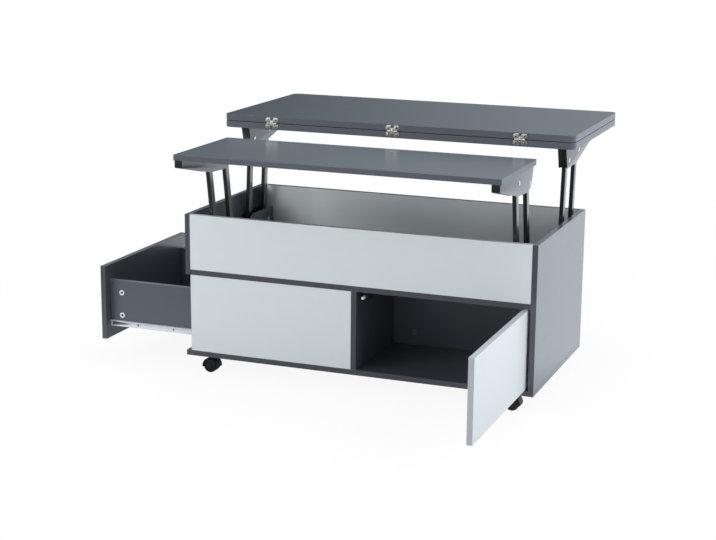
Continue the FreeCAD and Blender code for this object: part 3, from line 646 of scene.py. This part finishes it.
def buildRivets():
    base = []
    for lift in feet:
        tops = []
        for side, (x0, x1) in zip(sides, footSpans(lift)):
            armLow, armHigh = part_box(f"{lift}_lead_arm_{side}")
            base += [rivet(pivot, x0, x1, armLow.x, armHigh.x) for pivot in basePivots(lift)]
            low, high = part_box(f"{lift}_top_bracket_{side}")
            tops += [rivet(pivot, low.x, high.x, armLow.x, armHigh.x) for pivot in topPivots(lift)]
        addPiece(f"{lift}_top_rivets", joinShapes(tops), f"{lift}_top", "zinc_steel", [f"{lift}_top_pins"],
                 "rivetSteel")
    addPiece("base_rivets", joinShapes(base), "case", "zinc_steel", ["base_pivot_pins"], "rivetSteel")


buildRivets()
print("rivets built")

# leaf hinges: two-lobed plates, rolled knuckles and cross-head screws
hingeSet = {"pitch": 0.365, "width": 0.040, "height": 0.013, "notch": 0.007, "floor": 0.005, "thick": 0.0018,
            "footRound": 0.004, "lobe": 0.006, "inner": 0.0032, "notchRound": 0.0015, "rim": 0.0011,
            "knuckle": 0.0022, "length": 0.010, "gap": 0.0003, "steps": 20,
            "webRise": 0.003, "webShare": 0.2, "webEase": 0.0004, "webBack": 0.0002, "webProud": 0.0003,
            "screwPitch": 0.024, "screwR": 0.0030, "screwDome": 0.0006, "screwSunk": 0.0001}


def hingePlate(x, leafFront, seam, start, sign):
    half, notch, thick = hingeSet["width"] / 2, hingeSet["notch"] / 2, hingeSet["thick"]
    end, floor = start + hingeSet["height"], start + hingeSet["floor"]
    lobe = [(half, start, hingeSet["footRound"]), (half, end, hingeSet["lobe"]),
            (notch, end, hingeSet["inner"]), (notch, floor, hingeSet["notchRound"])]
    mirrored = [(-u, v, radius) for u, v, radius in lobe]
    plate = outlineFace([mirrored[0], *lobe, *reversed(mirrored[1:])], 0.0)
    extrudeFaces(plate, plate.faces[:], (thick, 0, 0))
    front = [edge for edge in plate.edges if all(abs(vert.co.x - thick) < tiny for vert in edge.verts)]
    bevel(plate, front, hingeSet["rim"], bendSegments)
    # the outline's u goes to the world's X, its v to Z, and the thickness to -Y
    turn = Matrix(((0, 1, 0, x), (-1, 0, 0, leafFront), (0, 0, sign, seam), (0, 0, 0, 1)))
    bmesh.ops.transform(plate, matrix=turn, verts=plate.verts)
    return plate


def hingeKnuckle(centre, leafFront, seam, start, sign):
    # rolled sleeve round the fold's axis, and the web from it to the plate
    axis = pivots["leaf_fold"]
    length, knuckle, ease = hingeSet["length"], hingeSet["knuckle"], hingeSet["webEase"]
    left, right = centre - length / 2, centre + length / 2
    sleeve = turned(easedPin(knuckle, length), (left, axis.y, axis.z), lengthways, hingeSet["steps"])
    low, high = sorted((seam + sign * knuckle * hingeSet["webShare"],
                        seam + sign * (start + hingeSet["webRise"])))
    web = rounded((left + ease, axis.y + hingeSet["webBack"], low),
                  (right - ease, leafFront - hingeSet["webProud"], high), ease)
    return [sleeve, web]


def buildHinges():
    leafFront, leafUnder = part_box("upper_leaf")[0].y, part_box("upper_leaf")[0].z
    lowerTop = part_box("lower_leaf")[1].z
    seam = (lowerTop + leafUnder) / 2
    start = (leafUnder - lowerTop) / 2 + hingeSet["knuckle"]
    apart, sunk = hingeSet["length"] + hingeSet["gap"], hingeSet["screwSunk"]
    for body, sign, knuckles, stoodFor in (
            ("upper_leaf", 1, (0,), ["upper_hinge_plates", "upper_leaf_screws"]),
            ("rear_top", -1, (-apart, apart), ["lower_hinge_plates", "leaf_hinge_pins"])):
        plates, screws = [], []
        for step in (-1, 0, 1):
            x = middleX + step * hingeSet["pitch"]
            plates.append(hingePlate(x, leafFront, seam, start, sign))
            for offset in knuckles:
                plates += hingeKnuckle(x + offset, leafFront, seam, start, sign)
            for side in sides.values():
                place = (x + side * hingeSet["screwPitch"] / 2, leafFront - hingeSet["thick"] + sunk,
                         seam + sign * (start + hingeSet["height"] / 2))
                screws.append(crossHead(hingeSet["screwR"], hingeSet["screwDome"] + sunk, place, forward))
        addPiece(f"{body}_hinge_plates", joinShapes(plates), body, "nickel", stoodFor)
        addPiece(f"{body}_hinge_screws", joinShapes(screws), body, "zinc_steel")


buildHinges()
print("hinges built")

# base brackets: foot on the shelf, a cheek on each side of the arms, and the stud that stops the raised arm
stopSet = {"radius": 0.003, "clear": 0.0002, "steps": 20,
           "rear": ("rear_trail_swing", 0.014, 1),        # (arm's pivot, up the arm from it, side of the arm)
           "front": ("front_lift", 0.012, -1)}


def footOutline(lift):
    lead, trail = basePivots(lift)
    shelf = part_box("middle_shelf")[1].z
    foot = feet[lift]
    front, back = lead.y - foot["ahead"], trail.y + foot["behind"]
    if lift == "rear":
        high = trail.z + foot["over"]
        upper = [(front, high, foot["nose"]), (back, high, foot["round"])]
    else:
        high = lead.z + foot["over"]
        upper = [(front, high, foot["round"]), (lead.y + foot["past"], high, foot["round"]),
                 (back, trail.z + foot["low"], foot["round"])]
    return [(front, shelf, 0), *upper, (back, shelf, 0)]


def stopPlace(lift):
    joint, rise, side = stopSet[lift]
    arm = topPivots(lift)[0] - basePivots(lift)[0]
    arm = Vector((0, arm.y, arm.z)).normalized()
    beside = Vector((0, arm.z, -arm.y)) * side
    return pivots[joint] + arm * rise + beside * (armSet["depth"] / 2 + stopSet["clear"] + stopSet["radius"])


def isFootPlate(face):
    return face.normal.z < -bracketSet["flangeCosine"]


def buildBaseBrackets():
    for lift, foot in feet.items():
        stop = stopPlace(lift)
        stud = easedPin(stopSet["radius"], foot["wide"])
        shapes = []
        for x0, x1 in footSpans(lift):
            shapes.append(foldedSheet(footOutline(lift), x0, x1, isFootPlate, bracketSet))
            shapes.append(turned(stud, (x0, stop.y, stop.z), lengthways, stopSet["steps"]))
        addPiece(f"{lift}_base_sheets", joinShapes(shapes), "case", "black_steel", [f"{lift}_base_brackets"])


buildBaseBrackets()
print("base brackets built")

# pan head screws with a cross recess
screwSet = {"radius": 0.004, "height": 0.0024, "inset": 0.008}


def screwRow(x, seats, z, axis):
    return [crossHead(screwSet["radius"], screwSet["height"], (x, y, z), axis) for y in seats]


def buildBaseScrews():
    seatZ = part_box("middle_shelf")[1].z + bracketSet["sheet"]
    heads = []
    for lift, foot in feet.items():
        lead, trail = basePivots(lift)
        seats = [lead.y - foot["ahead"] / 2, trail.y + foot["behind"] / 2]
        if lift == "rear":
            seats.append((lead.y + trail.y) / 2)
        for x0, x1 in footSpans(lift):
            heads += screwRow((x0 + x1) / 2, seats, seatZ, up)
    addPiece("base_screw_heads", joinShapes(heads), "case", "zinc_steel", ["base_bracket_screws"])


def buildTopScrews():
    sheetT, inset = bracketSet["sheet"], screwSet["inset"]
    for lift, top, board, node in (("rear", rearTop, "lower_leaf", "lower_leaf_screws"),
                                   ("front", frontTop, "support_top", "support_top_screws")):
        lead, trail = topPivots(lift)
        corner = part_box(board)[0]
        middle = trail.y + top["tail"] / 4 if lift == "rear" else (lead.y + trail.y) / 2
        seats = (corner.y + top["webInset"] + sheetT + inset, middle, trail.y + top["tail"] - inset)
        heads = []
        for side in sides:
            low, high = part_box(f"{lift}_top_bracket_{side}")
            heads += screwRow((low.x + high.x) / 2, seats, corner.z - sheetT, -up)
        addPiece(f"{lift}_top_screw_heads", joinShapes(heads), f"{lift}_top", "zinc_steel", [node])


buildBaseScrews()
buildTopScrews()
print("screws built")

# cam locks of the drawer front: a cover ring with the cast cam sunk in it; the cam's zinc is coloured darker as
# painted shade of its recess
camSet = {"radius": 0.0075, "bore": 0.0040, "proud": 0.0006, "deep": 0.0020, "boreEase": 0.0007,
          "rimEase": 0.0008, "rimShare": 0.4, "steps": 32, "core": 0.0039, "coreHeight": 0.0012,
          "coreReach": 0.7}


def buildCams():
    low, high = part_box("drawer_cam_locks")
    r, bore, proud, deep = camSet["radius"], camSet["bore"], camSet["proud"], camSet["deep"]
    ring = [(-deep, bore), (0.0, bore), (proud, bore + camSet["boreEase"]), (proud, r - camSet["rimEase"]),
            (proud * camSet["rimShare"], r), (-deep, r), (-deep, bore)]
    rings, cores = [], []
    for face, way in ((low.y + proud, forward), (high.y - proud, -forward)):
        for z in (low.z + r, high.z - r):
            place = Vector(((low.x + high.x) / 2, face, z))
            rings.append(turned(ring, place, way, camSet["steps"]))
            cores.append(crossHead(camSet["core"], camSet["coreHeight"], place - way * deep, way,
                                   camSet["coreReach"]))
    addPiece("drawer_cam_rings", joinShapes(rings), "drawer", "white_plastic", ["drawer_cam_locks"])
    # the cores take the darker zinc: painted shade of their recess
    addPiece("drawer_cam_cores", joinShapes(cores), "drawer", "zinc_steel", look="recessShadedZinc")


buildCams()
print("cam locks built")

# drawer rails: web with screw holes and a tapered slot, lip over the roller, flange under the drawer's side
railSet = {"sheet": 0.0012, "lip": 0.0078, "flange": 0.012, "ease": 0.0004, "sharp": 30,
           "holes": (0.087, 0.200, 0.330), "holeR": 0.0032, "holeSides": 12,
           "slot": ((0.004, 0.12), (0.068, 0.50), (0.004, 0.85))}      # (from the front end, share of height)


def railWeb(low, high, y, depth):
    height, radius, around = high.z - low.z, railSet["holeR"], railSet["holeSides"]
    loops = [[(low.x, low.z), (high.x, low.z), (high.x, high.z), (low.x, high.z)],
             [(low.x + run, low.z + share * height) for run, share in railSet["slot"]]]
    turns = [math.radians(360 / around * step) for step in range(around)]
    for run in railSet["holes"]:
        x, z = low.x + run, (low.z + high.z) / 2
        loops.append([(x + radius * math.cos(turn), z + radius * math.sin(turn)) for turn in turns])
    web = bmesh.new()
    edges = []
    for loop in loops:
        edges += closedLine(web, [(x, y, z) for x, z in loop])[1]
    bmesh.ops.triangle_fill(web, use_beauty=True, use_dissolve=False, edges=edges)
    extrudeFaces(web, web.faces[:], (0, depth, 0))
    return web


def buildRails():
    low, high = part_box("drawer_rails")
    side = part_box("drawer_sides")
    sheetT, ease = railSet["sheet"], railSet["ease"]
    shapes = []
    for y, out in ((side[0].y, -1), (side[1].y, 1)):
        face = y + out * sheetT
        shapes.append(railWeb(low, high, y, out * sheetT))
        lipY = sorted((face - out * ease, face + out * railSet["lip"]))
        shapes.append(rounded((low.x, lipY[0], high.z - sheetT), (high.x, lipY[1], high.z), ease))
        underY = sorted((face - out * ease, y - out * railSet["flange"]))
        shapes.append(rounded((low.x, underY[0], low.z), (high.x, underY[1], low.z + sheetT), ease))
    addPiece("drawer_rail_sheets", joinShapes(shapes), "drawer", "white_steel", ["drawer_rails"],
             sharp=railSet["sharp"])


buildRails()
print("drawer rails built")

# push latch: plunger with a rounded nose and a groove, body with a collar round it
latchSet = {"nose": ((0, 0), (0, 0.0028), (0.0004, 0.0034)), "noseLength": 0.0016, "steps": 28,
            "groove": 0.0070, "grooveWide": 0.0015, "grooveSlope": 0.0003, "grooveDeep": 0.0004,
            "ease": 0.0015, "collar": 0.0072, "collarOut": 0.0012, "collarBore": (0.0006, 0.0004),
            "collarEase": ((0.6, 0.0002), (1.0, 0.0008))}      # (share of collarOut, in from the rim)


def buildLatch():
    low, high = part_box("latch_plunger")
    r, length = (high.x - low.x) / 2, high.y - low.y
    start = ((low.x + high.x) / 2, low.y, (low.z + high.z) / 2)
    groove, neck, slope = latchSet["groove"], r - latchSet["grooveDeep"], latchSet["grooveSlope"]
    grooveEnd = groove + latchSet["grooveWide"]
    rod = [*latchSet["nose"], (latchSet["noseLength"], r), (groove, r), (groove + slope, neck),
           (grooveEnd - slope, neck), (grooveEnd, r), (length, r), (length, 0)]
    addPiece("latch_plunger_rod", turned(rod, start, -forward, latchSet["steps"]), "latch_plunger",
             "white_plastic", ["latch_plunger"])
    low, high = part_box("latch_body")
    out, wide = latchSet["collarOut"], latchSet["collar"]
    mouth, root = latchSet["collarBore"]
    ring = [(0, wide), *((out * share, wide - inset) for share, inset in latchSet["collarEase"]),
            (out, r + mouth), (0, r + root), (0, wide)]
    collar = turned(ring, (start[0], low.y, start[2]), forward, latchSet["steps"])
    housing = rounded(low, high, latchSet["ease"], bendSegments)
    addPiece("latch_housing", joinShapes([housing, collar]), "case", "black_plastic", ["latch_body"])


buildLatch()
print("latch built")

# cover caps over the fixings of the board behind the door compartment; profile in shares of proud and radius
capSet = {"radius": 0.008, "proud": 0.002, "fromSides": 0.064, "above": 0.036, "steps": 28,
          "profile": ((0, 0), (0, 1), (0.4, 1), (0.75, 0.93), (1, 0.8), (1.1, 0))}


def buildCaps():
    left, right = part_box("centre_divider")[1].x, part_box("right_side_panel")[0].x
    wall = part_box("lower_back_panels")[0].y
    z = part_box("bottom_board")[1].z + capSet["above"]
    cap = [(capSet["proud"] * rise, capSet["radius"] * out) for rise, out in capSet["profile"]]
    caps = [turned(cap, (x, wall, z), forward, capSet["steps"])
            for x in (left + capSet["fromSides"], right - capSet["fromSides"])]
    addPiece("compartment_caps", joinShapes(caps), "case", "black_plastic", look="capGrey")


buildCaps()
print("cover caps built")

# casters: moulded wheels with a crowned tread, a dished face and a hub cap
casterCorners = ("front_left", "front_right", "rear_left", "rear_right")
wheelSet = {"radius": 0.019, "width": 0.012, "web": 0.007, "gap": 0.0003, "edge": 0.003, "steps": 40,
            "axle": 0.003, "axleIn": 0.002, "axleSteps": 16,
            "tread": ((0.0, 0.0022), (0.0006, 0.0008), (0.0022, 0.0)),      # (from inside, in from the rim)
            "shoulder": (22, 45, 68, 90),      # degrees round the outer edge
            "face": ((0.0, 0.0135), (0.0016, 0.0125), (0.0018, 0.0078), (0.0002, 0.0070), (0.0001, 0.0030),
                     (0.0006, 0.0))}      # (below the outer face, from the axle)


def wheelProfile():
    r, width, edge = wheelSet["radius"], wheelSet["width"], wheelSet["edge"]
    tread = [(run, r - under) for run, under in wheelSet["tread"]]
    turns = [math.radians(turn) for turn in wheelSet["shoulder"]]
    shoulder = [(width - edge + edge * math.sin(turn), r - edge + edge * math.cos(turn)) for turn in turns]
    face = [(width - under, radius) for under, radius in wheelSet["face"]]
    return [(0.0, 0.0), *tread, (width - edge, r), *shoulder, *face]


def buildWheels():
    axles = {joint["name"]: Vector(joint["axis"]) for joint in frame["joints"] if "axis" in joint}
    inner = wheelSet["web"] / 2 + wheelSet["gap"]
    half, r = wheelSet["web"] / 2 + wheelSet["axleIn"], wheelSet["axle"]
    for corner in casterCorners:
        axle, hub = axles[f"roll_{corner}"], pivots[f"roll_{corner}"]
        shapes = [turned(wheelProfile(), hub + axle * way * inner, axle * way, wheelSet["steps"])
                  for way in (-1, 1)]
        shapes.append(turned([(0, 0), (0, r), (2 * half, r), (2 * half, 0)], hub - axle * half, axle,
                             wheelSet["axleSteps"]))
        addPiece(f"caster_{corner}_tyres", joinShapes(shapes), f"caster_{corner}_wheels", "black_plastic",
                 [f"caster_wheels_{corner}"])


buildWheels()
print("caster wheels built")

# screws that hold the caster plates under the bottom board
plateSet = {"thick": 0.0025, "screwAt": 0.014, "screwR": 0.0035, "screwHeight": 0.002}


def buildPlateScrews():
    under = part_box("bottom_board")[0].z - plateSet["thick"]
    reach = plateSet["screwAt"]
    heads = []
    for corner in casterCorners:
        pin = pivots[f"swivel_{corner}"]
        for x in (pin.x - reach, pin.x + reach):
            for y in (pin.y - reach, pin.y + reach):
                heads.append(crossHead(plateSet["screwR"], plateSet["screwHeight"], (x, y, under), -up))
    addPiece("caster_plate_screws", joinShapes(heads), "case", "zinc_steel")


buildPlateScrews()
print("caster plate screws built")

# studio: white floor and air, and soft lamps
# polished faces see a studio that darkens to the left and to the front
studio = {
    "floorSize": 60.0,
    "floorColour": (0.82, 0.82, 0.82, 1),
    "white": (1, 1, 1, 1),         # what the camera sees behind the object
    "nearGlow": 0.92,              # share of plain white that the camera sees on the floor by the object
    "glowReach": (1.0, 3.0),       # from here the floor grows to full white
    "ambient": (0.46, 0.47, 0.49, 1),
    "mirrorTint": (0.92, 1.0, 1.07, 1),
    "leftTones": ((-0.44, 0.0), (-0.25, 0.42), (0.2, 1.05)),    # (x of the direction, brightness)
    "frontTones": (-0.3, 0.2, 0.2),       # from y to y of the direction, darkest share
    "highTones": (0.2, 0.3, 0.6),         # from z to z of the direction, least tone above
    "frontFloor": (-0.9, 0.2, 0.1),       # from y to y on the floor, darkest share
    "underFloor": (0.4, 0.8, 0.2),        # shaded floor under the case: from and to so far out, darkest share
    "unmirrored": ("frontLow", "fillRight"),      # lamps that polished faces don't show
    "lamps": [
        # name, place, aim, width, height, watts, colour
        ("keyLeft", (-2.2, -2.7, 2.2), (0.0, 0.0, 0.4), 1.9, 1.5, 61, (1.0, 0.99, 0.97)),
        ("fillRight", (3.7, 0.25, 1.9), (0.2, 0.0, 0.35), 2.2, 1.8, 84, (1.0, 0.985, 0.99)),
        ("frontLow", (0.1, -4.2, 0.7), (0.1, 0.0, 0.2), 1.6, 1.0, 17, (0.97, 0.99, 1.0)),
        ("overhead", (0.2, 0.3, 3.4), (0.0, 0.0, 0.4), 2.6, 2.0, 64, (1.0, 1.0, 1.0)),
    ],
}


def emptyTree(owner):
    owner.use_nodes = True
    owner.node_tree.nodes.clear()
    return owner.node_tree


def splitPlace(tree, kind):
    # a place or direction, and its parts
    place = addNode(tree, "ShaderNodeTexCoord").outputs[kind]
    split = addNode(tree, "ShaderNodeSeparateXYZ")
    tree.links.new(place, split.inputs[0])
    return place, split.outputs


def mixShaders(tree, factor, first, second):
    mix = addNode(tree, "ShaderNodeMixShader")
    tree.links.new(factor, mix.inputs[0])
    tree.links.new(first.outputs[0], mix.inputs[1])
    tree.links.new(second.outputs[0], mix.inputs[2])
    return mix


def showByRay(tree, lit, shown, share, mirrored, output):
    # the camera sees a share of shown, polished faces see mirrored, and lit does the rest
    rays = addNode(tree, "ShaderNodeLightPath").outputs
    clear = maths(tree, "MAXIMUM", rays["Is Camera Ray"], rays["Is Transmission Ray"])
    seen = mixShaders(tree, maths(tree, "MULTIPLY", clear, share), lit, shown)
    whole = mixShaders(tree, rays["Is Glossy Ray"], seen, mirrored)
    tree.links.new(whole.outputs[0], addNode(tree, output).inputs["Surface"])


def buildFloor():
    sheet = bmesh.new()
    bmesh.ops.create_grid(sheet, x_segments=1, y_segments=1, size=studio["floorSize"] / 2)
    mesh = bpy.data.meshes.new("studioFloor")
    sheet.to_mesh(mesh)
    sheet.free()
    floor = bpy.data.objects.new("studioFloor", mesh)
    bpy.context.scene.collection.objects.link(floor)
    finish = bpy.data.materials.new("floorPaper")
    tree = emptyTree(finish)
    place, parts = splitPlace(tree, "Object")
    away = addNode(tree, "ShaderNodeVectorMath", operation="LENGTH")
    tree.links.new(place, away.inputs[0])
    far = away.outputs["Value"]
    glow = rangeOf(tree, far, *studio["glowReach"], studio["nearGlow"], 1.0)
    paper = addNode(tree, "ShaderNodeBsdfDiffuse", {"Color": studio["floorColour"]})
    bright = addNode(tree, "ShaderNodeEmission", {"Color": studio["white"], "Strength": 1.0})
    mirrored = addNode(tree, "ShaderNodeEmission", {"Color": studio["mirrorTint"]})
    front = rangeOf(tree, parts["Y"], *studio["frontFloor"], 1.0)
    under = rangeOf(tree, far, *studio["underFloor"], 1.0)
    tree.links.new(maths(tree, "MULTIPLY", front, under), mirrored.inputs["Strength"])
    showByRay(tree, paper, bright, glow, mirrored, "ShaderNodeOutputMaterial")
    mesh.materials.append(finish)


def buildWorld():
    world = bpy.data.worlds.new("studioAir")
    bpy.context.scene.world = world
    tree = emptyTree(world)
    parts = splitPlace(tree, "Generated")[1]
    (x0, tone0), (x1, tone1), (x2, tone2) = studio["leftTones"]
    left = maths(tree, "ADD", rangeOf(tree, parts["X"], x0, x1, tone0, tone1),
                 rangeOf(tree, parts["X"], x1, x2, 0.0, tone2 - tone1))
    low, high, least = studio["highTones"]
    left = maths(tree, "MAXIMUM", left, rangeOf(tree, parts["Z"], low, high, 0.0, least))
    front = rangeOf(tree, parts["Y"], *studio["frontTones"], 1.0)
    air = addNode(tree, "ShaderNodeBackground", {"Color": studio["ambient"], "Strength": 1.0})
    bright = addNode(tree, "ShaderNodeBackground", {"Color": studio["white"], "Strength": 1.0})
    mirrored = addNode(tree, "ShaderNodeBackground", {"Color": studio["mirrorTint"]})
    tree.links.new(maths(tree, "MULTIPLY", left, front), mirrored.inputs["Strength"])
    showByRay(tree, air, bright, 1.0, mirrored, "ShaderNodeOutputWorld")


def buildLamps():
    for name, place, aim, width, height, watts, colour in studio["lamps"]:
        lamp = bpy.data.lights.new(name, "AREA")
        lamp.shape = "RECTANGLE"
        lamp.size = width
        lamp.size_y = height
        lamp.energy = watts
        lamp.color = colour
        holder = bpy.data.objects.new(name, lamp)
        holder.location = place
        holder.rotation_euler = (Vector(aim) - Vector(place)).to_track_quat("-Z", "Y").to_euler()
        holder.visible_glossy = name not in studio["unmirrored"]
        bpy.context.scene.collection.objects.link(holder)


camera = {
    "place": (1.6217, -4.0016, 1.3320),
    "yaw": -0.3690,        # turned from +Y, positive to the right
    "pitch": -0.2363,
    "roll": 0.0086,
    "lens": 80.25,
    "sensor": 36.0,
    "sight": 200.0,
}


def buildCamera():
    yaw, pitch, roll = camera["yaw"], camera["pitch"], camera["roll"]
    ahead = Vector((math.sin(yaw) * math.cos(pitch), math.cos(yaw) * math.cos(pitch), math.sin(pitch)))
    level = Vector((math.cos(yaw), -math.sin(yaw), 0))
    upright = level.cross(ahead)
    right = math.cos(roll) * level + math.sin(roll) * upright
    top = math.cos(roll) * upright - math.sin(roll) * level
    turn = Matrix((right, top, -ahead)).transposed().to_4x4()
    lens = bpy.data.cameras.new("photoCamera")
    lens.lens = camera["lens"]
    lens.sensor_width = camera["sensor"]
    lens.clip_end = camera["sight"]
    holder = bpy.data.objects.new("photoCamera", lens)
    holder.matrix_world = Matrix.Translation(camera["place"]) @ turn
    bpy.context.scene.collection.objects.link(holder)
    bpy.context.scene.camera = holder


buildFloor()
buildWorld()
buildLamps()
buildCamera()
bpy.context.scene.view_settings.view_transform = "Standard"
print("studio ready")
